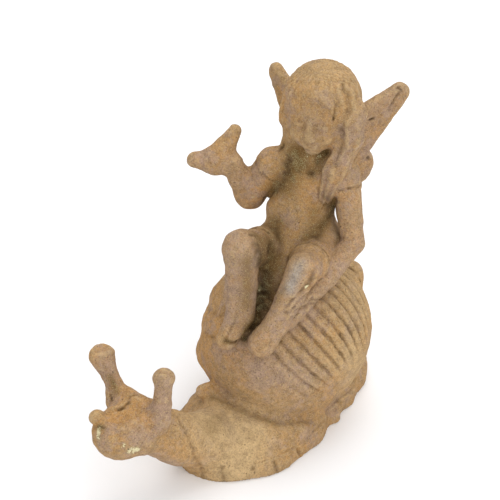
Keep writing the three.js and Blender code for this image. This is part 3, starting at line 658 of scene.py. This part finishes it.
PALE = (
    ([(4, -38, 14), (11, -30, 11), (12, -36, 4)], 9, 1.3),
    ([(10, 12, 42), (19, 8, 34)], 9, 0.7),
    ([(22.9, -0.5, 26), (20, 4, 14)], 7, 1),
    ([ON_HEAD(3, -2, 10)], 8, 0.4),
    ([(8.5, 8, 51)], 4, 0.9),
    ([(8, 18, 66)], 3.5, 0.8),
)
# Painted highlight: a bluish-grey sheen along the front of the left shin and on the right knee.
GREY = (
    ([(14.4, -11.6, 58.4), (14.0, -13.6, 54.9), (13.2, -15.2, 50.4)], 2.2, 1.2),
    ([KNEE["right"]], 5, 0.35),
)
# Painted shade, with some dirt: between the legs, under the arms, on chest, lap and face, under the
# lip.
DARK = (
    ([(1.3, -13, 60), (3.5, -14.1, 54.8), (-1.8, -8, 44.6)], 3, 0.9),
    ([(1.2, -11.3, 43.3), (2.8, -13.5, 40.8), (3.4, -16.3, 38.1), (4.9, -20.1, 37.2)], 3.2, 1),
    ([(3.2, -19.6, 56.3), (3.3, -19.8, 52.5), (4.1, -21.1, 44.1)], 2, 0.7),
    ([(3.5, -10, 56), (3.5, -10, 52), (3, -11, 48), (3, -13, 43)], 4.2, 1),
    ([(-1.3, 5.2, 76), (0.8, 3.9, 73.9), (-0.2, 2.3, 70.6), (-1.8, 1.6, 66.6)], 3.4, 1),
    ([(-4.4, 1.8, 66.4), (-6, 1, 62.6)], 2, 0.8),
    ([(6.6, 3.6, 61), (7, 2.4, 58)], 2.2, 0.7),
    ([(5.1, 8, 76), (4.4, 4.7, 71.5)], 2.4, 0.7),
    ([(7.7, 8.4, 61.3), (7.7, 7.6, 58.6), (7.3, 4.1, 56.1), (6.7, -0.1, 54.3)], 2.4, 0.85),
    ([(-2.4, -2.1, 55.6), (1.7, -5.9, 55.3)], 3.2, 0.75),
    ([(11.4, -15.2, 48.9), (10.4, -16.4, 46)], 1.4, 0.5),
    ([ON_HEAD(0, -8, -1)], 7, 0.3),
    ([(-14, -53.2, 30.6), (-11.4, -54.1, 27.9)], 1.3, 0.8),
    ([(-2.5, -27.7, 14.2), (3.7, -27.2, 14.1), (9.3, -24.9, 12.2), (14.3, -21.5, 10.4)], 1, 0.5),
    ([(-8, -64.6, 24.9), (-6.2, -64.5, 25.5)], 0.9, 0.8),
    ([(2.5, -27.4, 35.2), (3.1, -20.6, 32.5)], 1.2, 0.8),
    ([(6.7, -38.7, 15.2), (5, -33, 15)], 2.5, 0.4),
)
CHIPS = (
    ([(-7.3, -65.3, 24.6), (-6.2, -65.6, 23.2)], 1.2, 1),
    ([(0.8, -62.6, 20.9), (2.6, -61.4, 20.9)], 1.3, 1),
    ([(0.2, -64.0, 22.8)], 1, 0.9),
    ([(-8.3, -53.2, 27.6)], 0.6, 0.8),
    ([(16.4, -11.5, 50.5), (17.2, -11.4, 50.9)], 0.9, 1),
    ([(11.6, 12.6, 38.8), (11.9, 13.4, 37)], 0.8, 0.9),
    ([(10.9, -14.7, 51.3)], 0.6, 0.8),
    ([(0.5, -11.7, 42.1)], 0.8, 0.8),
    ([(-0.5, 3.6, 75), (2, 4.4, 74.4)], 1.6, 0.42),
    ([(-4.6, 1.8, 66), (-5.6, 1.4, 63.6)], 1.2, 0.42),
    ([(3.5, -12, 45), (3, -14, 41)], 1.6, 0.4),
    ([(2.4, 1.7, 61.9)], 0.6, 0.8),
    ([(-4.0, -0.9, 56.0)], 0.5, 0.7),
    ([(-3.0, 4.0, 76.9)], 0.5, 0.8),
    ([(1.8, 5.9, 76.6)], 0.7, 0.8),
    ([(2.4, 5.4, 75.5)], 0.7, 0.8),
    ([(4.8, 7.2, 75.7)], 0.6, 0.8),
    ([(-10.2, -1.2, 61.0)], 0.7, 0.6),
)


def slope(distance, points):
    """The distance field and the unit direction in which it grows, by small steps."""
    here = distance(points)
    steps = [distance(points + SLOPE_STEP * axis) - here for axis in np.eye(3)]
    way = np.stack(steps, 1) / SLOPE_STEP
    return here, way / np.maximum(np.linalg.norm(way, axis=1), TINY)[:, None]


def face(figure):
    """A calm, worn face: brow, foot of the nose and chin a third of the face apart."""
    axes = FACE_AXES
    middle = FACE_MIDDLE
    for side in (-1, 1):
        eye = middle + 2.8 * side
        figure.egg(ON_HEAD(eye, -10.6, -1.2), (2.2, 1.7, 1.6), axes, 1.6, carve=True)
        figure.egg(ON_HEAD(eye, -8.6, -1.4), (1.5, 0.9, 0.9), axes, 0.5)
        figure.egg(ON_HEAD(middle + 3.4 * side, -7.7, -4.8), (2, 1.5, 1.9), axes, 1.6)
        figure.egg(ON_HEAD(middle + 0.8 * side, -9.8, -4.9), (0.7, 0.7, 0.6), axes, 0.5)
    figure.limb(ON_HEAD(middle, -9.5, -0.2), ON_HEAD(middle, -10.4, -4.5), 0.6, 0.9, 1)
    for half_width, back, up, radius in ((1.4, -8.8, -7.1, 0.5), (1.1, -8.4, -8.2, 0.6)):
        corners = [ON_HEAD(middle + side * half_width, back, up) for side in (-1, 1)]
        figure.limb(*corners, radius, radius, 0.6)
    figure.egg(ON_HEAD(middle, -6.4, -10.2), (1.8, 1.5, 1.3), axes, 1.4)


def tunic(figure):
    """Cloth a hair proud of the trunk and the thighs, with neckline, armholes and hem."""
    body = Sculpture()
    trunk(body)
    hems = []
    for side, radius in THIGH_RADIUS.items():
        end = along(HIP[side], KNEE[side], HEM_SHARE)
        body.limb(HIP[side], end, radius, mix(radius, THIGH_END_RADIUS, HEM_SHARE), 2)
        way = np.subtract(KNEE[side], HIP[side])
        hems.append((end, way / np.linalg.norm(way)))

    def distance(points):
        cloth = body.distance(points) - CLOTH
        for centre, radius in TUNIC_OPENINGS:
            cloth = np.maximum(cloth, radius - np.linalg.norm(points - centre, axis=1))
        past = np.min([(points - end) @ way for end, way in hems], 0)
        return np.maximum(cloth, past)

    figure.add(*CLOTH_BOX, CLOTH_BLEND, distance)


def finish_lumps():
    """The casting's lumps with the finer forms that only the skin carries.

    The snail's body is drawn half a hundredth wider and lower than in the casting, so that its
    sides run softly into the foot's rim.
    """
    figure = sculpt()
    figure.egg((2.6, -17, 1.6), (17.5, 23.9, 10.7), UPRIGHT, 1.8)
    tunic(figure)
    face(figure)
    return figure


def even_skin():
    """A copy of the casting, its loose facets merged, remeshed to even squares."""
    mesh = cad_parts[CASTING].data.copy()
    skin = bpy.data.objects.new("rusted_iron_fairy_on_snail", mesh)
    bpy.context.collection.objects.link(skin)
    weld = skin.modifiers.new("weld", "WELD")
    weld.merge_threshold = WELD_REACH
    remesh = skin.modifiers.new("even", "REMESH")
    remesh.mode = "VOXEL"
    remesh.voxel_size = SKIN_EDGE
    fine = bpy.data.meshes.new_from_object(
        skin.evaluated_get(bpy.context.evaluated_depsgraph_get())
    )
    skin.modifiers.clear()
    skin.data = fine
    return skin


def neighbour_mean(points, edges, count):
    """The mean of the points that each point shares an edge with."""
    here, there = edges.ravel(), edges[:, ::-1].ravel()
    return np.stack([np.bincount(here, points[there, k], len(points)) for k in range(3)], 1) / count


def lay_on(figure, points, edges, count):
    """Newton steps onto the lumps' surface, each after an easing along the surface."""
    way = None
    for sweep in range(SKIN_PASSES):
        if sweep:
            pull = neighbour_mean(points, edges, count) - points
            pull -= (pull * way).sum(1)[:, None] * way
            points = points + SKIN_EASING * pull
        here, way = slope(figure.distance, points)
        points = points - np.clip(here, -SKIN_STEP, SKIN_STEP)[:, None] * way
    return points, way


def to_path(points, path):
    """The least distance from each point to a row of straight stretches."""
    path = [np.asarray(p, float) for p in path]
    if len(path) == 1:
        return np.linalg.norm(points - path[0], axis=1)
    least = np.full(len(points), FAR)
    for start, end in zip(path, path[1:]):
        span = end - start
        share = np.clip((points - start) @ span / (span @ span), 0, 1)
        least = np.minimum(least, np.linalg.norm(points - start - share[:, None] * span, axis=1))
    return least


def settled(figure, path):
    """A path cut into short steps, each one laid on the surface of the lumps."""
    steps = [[np.asarray(path[0], float)]]
    for start, end in zip(path, path[1:]):
        count = max(int(math.dist(start, end) / PATH_STEP), 1)
        steps.append([along(start, end, (n + 1) / count) for n in range(count)])
    points = np.concatenate(steps)
    for _ in range(SKIN_PASSES):
        here, way = slope(figure.distance, points)
        points = points - np.clip(here, -1, 1)[:, None] * way
    return points


def stroke(points, path, width):
    """A bell of the distance to a path: exp(-(distance / width) squared)."""
    path = np.asarray(path, float)
    low, high = path.min(0) - 3 * width, path.max(0) + 3 * width
    near = np.flatnonzero(((points > low) & (points < high)).all(1))
    bell = np.zeros(len(points))
    bell[near] = np.exp(-(to_path(points[near], path) / width) ** 2)
    return bell


def square_to(span):
    """Two unit directions that are square to a line and to each other."""
    first = np.cross(span, OFF_AXIS)
    first /= np.linalg.norm(first)
    return first, np.cross(span / np.linalg.norm(span), first)


def strands(points, path, radius, count, seed):
    """Ridges along a lock of hair: the cosine of a count of turns about its middle line."""
    best = np.full(len(points), FAR)
    turn = np.zeros(len(points))
    path = [np.asarray(p, float) for p in path]
    for start, end in zip(path, path[1:]):
        span = end - start
        share = np.clip((points - start) @ span / np.linalg.norm(span) ** 2, 0, 1)
        miss = points - start - share[:, None] * span
        gap = np.linalg.norm(miss, axis=1)
        first, second = square_to(span)
        closer = gap < best
        turn = np.where(closer, np.arctan2(miss @ second, miss @ first), turn)
        best = np.where(closer, gap, best)
    reach = rise(*LOCK_EDGE, best / radius)
    return reach * np.cos(count * turn + LOCK_STRAND_WAVE * noise(points, 3, seed))


def hair_relief(points):
    """Strands from the crown over the cap, and along the locks."""
    offset = (points - HEAD_CENTRE) @ FACE_AXES.T
    turn = np.arctan2(offset[:, 0], offset[:, 1] - 1)
    away = np.linalg.norm(offset, axis=1)
    from_face = np.hypot(offset[:, 0] - FACE_MIDDLE, (offset[:, 2] + 2) * 0.72)
    on_face = rise(*FACE_EDGE, from_face) * (offset[:, 1] < -3)
    cap = rise(*CAP_INSIDE, away) * rise(*CAP_OUTSIDE, away) * (1 - on_face)
    fade = rise(*CROWN_FADE, np.hypot(offset[:, 0], offset[:, 1]))
    waves = np.cos(CAP_STRANDS * turn + CAP_STRAND_WAVE * noise(points, 4, 11))
    relief = CAP_STRAND_DEPTH * cap * fade * waves
    for path, radius, count, seed, depth in LOCK_STRANDS:
        relief += depth * strands(points, path, radius, count, seed)
    behind = points[:, 1] > BACK_STRANDS_FROM
    relief += BACK_STRAND_DEPTH * strands(points, *BACK_STRANDS) * behind
    return relief


def shell_relief(points):
    """Crisp grooves between the ribs, on the points that lie on the shell itself."""
    offset = points - SHELL_CENTRE
    length = np.linalg.norm(offset, axis=1)
    way = offset / length[:, None]
    crest, weight = rib_pattern(way)
    forward = rise(SHELL_SWELL_FROM, 1, way @ SHELL_SWELL_WAY)
    off = np.abs(length - SHELL_RADIUS - SHELL_LIP_SWELL * forward)
    groove = (1 - crest) ** RIB_GROOVE_SHARPNESS * weight * rise(*RIB_GROOVE_EDGE, off)
    groove *= np.clip(0.7 + 0.6 * noise(points, 4, 21), 0, 1.2)
    return groove


def ring(side, start, end, share, radius):
    """Points round a limb at a share of its length: a circle square to the limb."""
    first, second = square_to(np.subtract(end[side], start[side]))
    turns = np.linspace(0, 2 * np.pi, RING_POINTS)
    centre = along(start[side], end[side], share)
    return [centre + radius * (np.cos(t) * first + np.sin(t) * second) for t in turns]


def tunic_edges():
    """The neckline, both armholes and both hems as shallow dirt-filled lines."""
    lines = [NECKLINE]
    for side in ("right", "left"):
        lines.append(ring(side, HIP, KNEE, HEM_SHARE, HEM_RADIUS))
        lines.append(ring(side, SHOULDER, ELBOW, ARMHOLE_SHARE, ARMHOLE_RADIUS))
    return [(line, *TUNIC_EDGE) for line in lines]


def carve_skin(figure, points, way):
    """Moves the skin along its own normal by all the fine relief; gives stains and painted shade
    too.
    """
    depth = np.zeros(len(points))
    groove_dirt_and_shade = np.zeros(len(points))
    ragged = np.stack([noise(points, RAGGED_SIZE, seed) for seed in (31, 32, 33)], 1)
    worn = np.clip(0.85 + 0.6 * noise(points, WORN_SIZE, 34), 0.2, 1.2)
    for path, width, cut, dark in (*STROKES, *tunic_edges()):
        line = settled(figure, path)
        bell = stroke(points + RAGGED_REACH * ragged, line, width) * worn
        depth += cut * bell
        groove_dirt_and_shade = np.maximum(groove_dirt_and_shade, dark * bell)
    groove = shell_relief(points + RAGGED_GROOVE_REACH * ragged) * worn
    relief = hair_relief(points) - depth - RIB_GROOVE_DEPTH * groove
    bumps = sum(height * noise(points, size, seed) for size, height, seed in BUMPS)
    on_face = stroke(points, [ON_HEAD(FACE_MIDDLE, -9, -3)], FACE_EASING_REACH)
    relief += bumps * (1 - FACE_EASING * on_face)
    groove_dirt_and_shade = np.maximum(groove_dirt_and_shade, RIB_GROOVE_STAIN * groove)
    relief = np.where(points[:, 2] < RELIEF_FROM, 0, relief)
    moved = points + relief[:, None] * way
    moved[:, 2] = np.maximum(moved[:, 2], 0)
    return moved, groove_dirt_and_shade


def patches(points, places):
    """The strongest of soft round patches, each with a centre path, a radius and a strength."""
    total = np.zeros(len(points))
    for path, radius, strength in places:
        total = np.maximum(total, strength * stroke(points, path, radius))
    return total


def hollowness(figure, points, way):
    """How much of the space in front of the surface is filled, near and far; the painted shade's
    mask.
    """
    filled = np.zeros(len(points))
    for reach, weight in HOLLOW_REACHES:
        free = np.clip(figure.distance(points + reach * way), 0, reach)
        filled += weight * (1 - free / reach)
    return filled


def main_piece():
    """The whole casting's skin, with stains, painted shade and painted highlight as attributes."""
    skin = even_skin()
    mesh = skin.data
    points = np.empty(3 * len(mesh.vertices))
    mesh.vertices.foreach_get("co", points)
    points = points.reshape(-1, 3) / UNIT
    edges = np.empty(2 * len(mesh.edges), np.int64)
    mesh.edges.foreach_get("vertices", edges)
    edges = edges.reshape(-1, 2)
    count = np.bincount(edges.ravel(), minlength=len(points))[:, None]
    figure = finish_lumps()
    points, way = lay_on(figure, points, edges, count)
    points[points[:, 2] < ON_FLOOR, 2] = 0
    # The hollow and ridge measures set where the material paints shade and highlight.
    hollow = hollowness(figure, points, way)
    points, groove_dirt_and_shade = carve_skin(figure, points, way)
    swell = (points - neighbour_mean(points, edges, count)) * way
    ridge = np.clip(swell.sum(1) * RIDGE_GAIN, -1, 1)
    mesh.vertices.foreach_set("co", (points * UNIT).ravel())
    stains_and_painted_light = {
        "hollow": hollow,
        "groove_dirt_and_shade": groove_dirt_and_shade,
        "ridge": ridge,
        "purple": patches(points, PURPLE),
        "ochre": patches(points, OCHRE),
        "pale": patches(points, PALE),
        "grey": patches(points, GREY),
        "dark": patches(points, DARK),
        "chip": patches(points, CHIPS),
    }
    for name, values in stains_and_painted_light.items():
        mesh.attributes.new(name, "FLOAT", "POINT").data.foreach_set("value", values)
    mesh.shade_smooth()
    mesh.update()
    mesh.materials.clear()
    mesh.materials.append(rusted_iron())
    print("skin:", len(mesh.vertices), "points,", len(mesh.polygons), "faces")
    return skin


class Wire:
    """A number that varies over the surface; arithmetic on it adds Math nodes."""

    def __init__(self, paint, socket):
        self.paint, self.socket = paint, socket

    def _math(self, operation, first, second):
        return self.paint.node("ShaderNodeMath", {"operation": operation}, {0: first, 1: second})

    def __add__(self, other):
        return self._math("ADD", self, other)

    __radd__ = __add__

    def __sub__(self, other):
        return self._math("SUBTRACT", self, other)

    def __rsub__(self, other):
        return self._math("SUBTRACT", other, self)

    def __mul__(self, other):
        return self._math("MULTIPLY", self, other)

    __rmul__ = __mul__

    def clamped(self):
        """The number held between 0 and 1."""
        return self.paint.node("ShaderNodeClamp", {}, {"Value": self})

    def rise(self, first, second):
        """0 below the first edge and 1 above the second, with a smooth rise between."""
        values = {"Value": self, "From Min": first, "From Max": second}
        settings = {"interpolation_type": "SMOOTHSTEP"}
        return self.paint.node("ShaderNodeMapRange", settings, values)


class Paint:
    """A material's node tree, built one node at a time."""

    def __init__(self, name):
        self.material = bpy.data.materials.new(name)
        self.material.use_nodes = True
        self.tree = self.material.node_tree
        self.shader = self.tree.nodes["Principled BSDF"]

    def node(self, kind, settings, values, output=0):
        """A node with its settings made first, then its sockets linked or filled."""
        made = self.tree.nodes.new(kind)
        for name, value in settings.items():
            setattr(made, name, value)
        self.fill(made, values)
        return Wire(self, made.outputs[output])

    def fill(self, made, values):
        """Links wires to a node's sockets and types in plain values."""
        for name, value in values.items():
            if isinstance(value, Wire):
                self.tree.links.new(value.socket, made.inputs[name])
            else:
                made.inputs[name].default_value = value

    def mix(self, share, first, second):
        """A colour that lies the given share of the way from the first to the second."""
        first, second = (c if isinstance(c, Wire) else (*c, 1) for c in (first, second))
        return self.node(
            "ShaderNodeMix",
            {"data_type": "RGBA", "clamp_factor": True},
            {0: share, 6: first, 7: second},
            2,
        )

    def attribute(self, name):
        """A number stored on the skin's points."""
        return self.node("ShaderNodeAttribute", {"attribute_name": name}, {}, 2)

    def scaled(self, colour, share):
        """A colour made darker or lighter."""
        values = {0: colour, "Scale": share}
        return self.node("ShaderNodeVectorMath", {"operation": "SCALE"}, values)

    def noise(self, place, scale, detail, roughness, seed=0.0):
        """Cloudy noise between 0 and 1, with a number of features per metre."""
        values = {
            "Vector": place, "W": seed, "Scale": scale, "Detail": detail, "Roughness": roughness,
        }
        return self.node("ShaderNodeTexNoise", {"noise_dimensions": "4D"}, values)


def rusted_iron():
    """Matt rust: tan, ochre and purple-brown clouds, painted shade and dirt in hollows, painted
    highlight and wear on ridges, pale worn spots.
    """
    paint = Paint("rusted_iron")
    place = paint.node("ShaderNodeTexCoord", {}, {}, "Object")
    clouds = paint.noise(place, scale=75, detail=3, roughness=0.6)
    other = paint.noise(place, scale=130, detail=3, roughness=0.6, seed=3.7)
    spots = paint.noise(place, scale=420, detail=3, roughness=0.65)
    tints = paint.noise(place, scale=900, detail=2, roughness=0.6, seed=9.3)
    grain = paint.noise(place, scale=1900, detail=2, roughness=0.75)
    sand = paint.noise(place, scale=3600, detail=1, roughness=0.6, seed=5.1)
    hollow = paint.attribute("hollow")
    groove_dirt_and_shade = paint.attribute("groove_dirt_and_shade")
    ridge = paint.attribute("ridge")
    dark = paint.attribute("dark")
    chip = paint.attribute("chip")
    grey = paint.attribute("grey")

    ochre = clouds.rise(0.44, 0.6) * 0.6 + paint.attribute("ochre") * 0.8
    ochre = ochre + tints.rise(0.5, 0.38) * 0.35
    colour = paint.mix(ochre.clamped(), TAN, OCHRE_RUST)
    purple = paint.attribute("purple") * (0.35 + spots) + other.rise(0.5, 0.62) * 0.65
    purple = purple + tints.rise(0.5, 0.64) * 0.45
    colour = paint.mix(purple.clamped() * 0.85, colour, PURPLE_BROWN)
    pale = paint.attribute("pale") * (0.3 + clouds)
    colour = paint.mix(pale.clamped() * 0.85, colour, PALE_TAN)
    # Painted highlight: the grey sheen on the left shin and the right knee.
    colour = paint.mix(grey * 0.8, colour, HIGHLIGHT_GREY)
    # Painted highlight and wear: ridges lighter; painted shade: creases darker.
    colour = paint.mix(ridge.rise(0.08, 0.6) * 0.4, colour, PALE_TAN)
    colour = paint.mix(ridge.rise(-0.1, -0.8) * 0.25, colour, DARK_RUST_AND_CREASE_SHADE)
    light = 0.67 + 0.36 * spots.rise(0.33, 0.67) + 0.4 * grain.rise(0.3, 0.7)
    colour = paint.scaled(colour, light)
    colour = paint.mix(grain.rise(0.44, 0.3) * 0.3, colour, DARK_RUST_AND_CREASE_SHADE)
    # Painted shade, with some dirt: the dark patches and the hollows darkened to olive brown.
    dirt_and_shade = dark * (0.2 + spots * 0.7 + grain * 0.7) + hollow.rise(0.45, 1) * (0.2 + grain * 0.7)
    colour = paint.mix(dirt_and_shade.clamped(), colour, OLIVE_BROWN)
    colour = paint.mix(sand.rise(0.54, 0.7) * 0.65, colour, SAND_GRAIN)
    pits = grain.rise(0.42, 0.32) * spots.rise(0.57, 0.66) * 0.8
    # Dirt in grooves and pits, and painted shade between the parts, darkened to near black.
    deep = groove_dirt_and_shade * (0.3 + grain * 1.3) + pits
    colour = paint.mix(deep.clamped() * 0.92, colour, DEEP_DIRT_AND_SHADE)
    moss = (chip * 0.8 + dark * 0.3 + (spots - 0.5) * 2 + (sand - 0.5) * 2.5).rise(0.52, 0.62)
    colour = paint.mix(moss * 0.55, colour, MOSS)
    bare = (chip + (spots - 0.5) * 1.5 + (grain - 0.5) * 1.8).rise(0.72, 0.82)
    colour = paint.mix(bare * 0.9, colour, BARE_CHIP)

    height = grain * 0.9 + sand * 0.4 + spots * 0.8 - pits
    values = {"Strength": GRAIN_STRENGTH, "Distance": GRAIN_DEPTH, "Height": height}
    normal = paint.node("ShaderNodeBump", {}, values)
    paint.fill(paint.shader, {
        "Base Color": colour,
        "Roughness": RUST_ROUGHNESS - 0.12 * ridge.rise(0, 0.8) - grey * 0.25,
        "Metallic": 0.0,
        "Specular IOR Level": RUST_SPECULAR,
        "Normal": normal,
    })
    return paint.material


def floor():
    """A plain near-white floor, wide enough to fill the view."""
    mesh = bpy.data.meshes.new("floor")
    reach = FLOOR_REACH
    corners = [(-reach, -reach, 0), (reach, -reach, 0), (reach, reach, 0), (-reach, reach, 0)]
    mesh.from_pydata(corners, [], [(0, 1, 2, 3)])
    paint = Paint("white_floor")
    paint.fill(paint.shader, {
        "Base Color": FLOOR_WHITE,
        "Roughness": 0.9,
        "Specular IOR Level": 0.1,
    })
    mesh.materials.append(paint.material)
    plane = bpy.data.objects.new("floor", mesh)
    bpy.context.collection.objects.link(plane)


def lamp(name, turn, height, distance, size, power):
    """A soft square light that faces the figure, from a turn away from -Y and a rise."""
    turn, height = math.radians(turn), math.radians(height)
    away = Vector((
        math.cos(height) * math.sin(turn), -math.cos(height) * math.cos(turn), math.sin(height)
    ))
    light = bpy.data.lights.new(name, "AREA")
    light.size = size
    light.energy = power
    stand = bpy.data.objects.new(name, light)
    stand.location = Vector((0, 0, HEIGHT / 2)) + away * distance
    stand.rotation_euler = away.to_track_quat("Z", "Y").to_euler()
    bpy.context.collection.objects.link(stand)


def studio():
    """One broad soft light from the upper left, a weak one from the right, and a pale sky."""
    lamp("key", turn=205, height=64, distance=0.9, size=0.8, power=4.5)
    lamp("fill", turn=55, height=35, distance=1.0, size=0.8, power=4)
    world = bpy.data.worlds.new("pale_sky")
    world.use_nodes = True
    sky = world.node_tree.nodes["Background"]
    sky.inputs["Color"].default_value = SKY_WHITE
    sky.inputs["Strength"].default_value = SKY_STRENGTH
    bpy.context.scene.world = world
    bpy.context.scene.view_settings.view_transform = "Standard"


def camera():
    """Aimed so that the shell's middle falls on its place in the photograph's frame."""
    toward = Vector((
        math.cos(VIEW_RISE) * math.sin(VIEW_TURN),
        -math.cos(VIEW_RISE) * math.cos(VIEW_TURN),
        math.sin(VIEW_RISE),
    ))
    right = Vector((math.cos(VIEW_TURN), math.sin(VIEW_TURN), 0))
    up = toward.cross(right)
    pixel = HEIGHT / PHOTO_PIXELS_PER_HEIGHT
    middle = PHOTO_WIDTH / 2
    aim = Vector(SHELL_CENTRE) * UNIT
    across, down = SHELL_IN_PHOTO
    aim += (middle - across) * pixel * right + (down - middle) * pixel * up
    seen = bpy.data.cameras.new("camera")
    seen.sensor_width = SENSOR_WIDTH
    seen.lens = SENSOR_WIDTH * VIEW_DISTANCE / (pixel * PHOTO_WIDTH)
    seen.clip_end = CAMERA_REACH
    stand = bpy.data.objects.new("camera", seen)
    stand.location = aim + toward * VIEW_DISTANCE
    stand.rotation_euler = toward.to_track_quat("Z", "Y").to_euler()
    bpy.context.collection.objects.link(stand)
    bpy.context.scene.camera = stand


piece = main_piece()
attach(piece, "root")
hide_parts(CASTING)
floor()
studio()
camera()
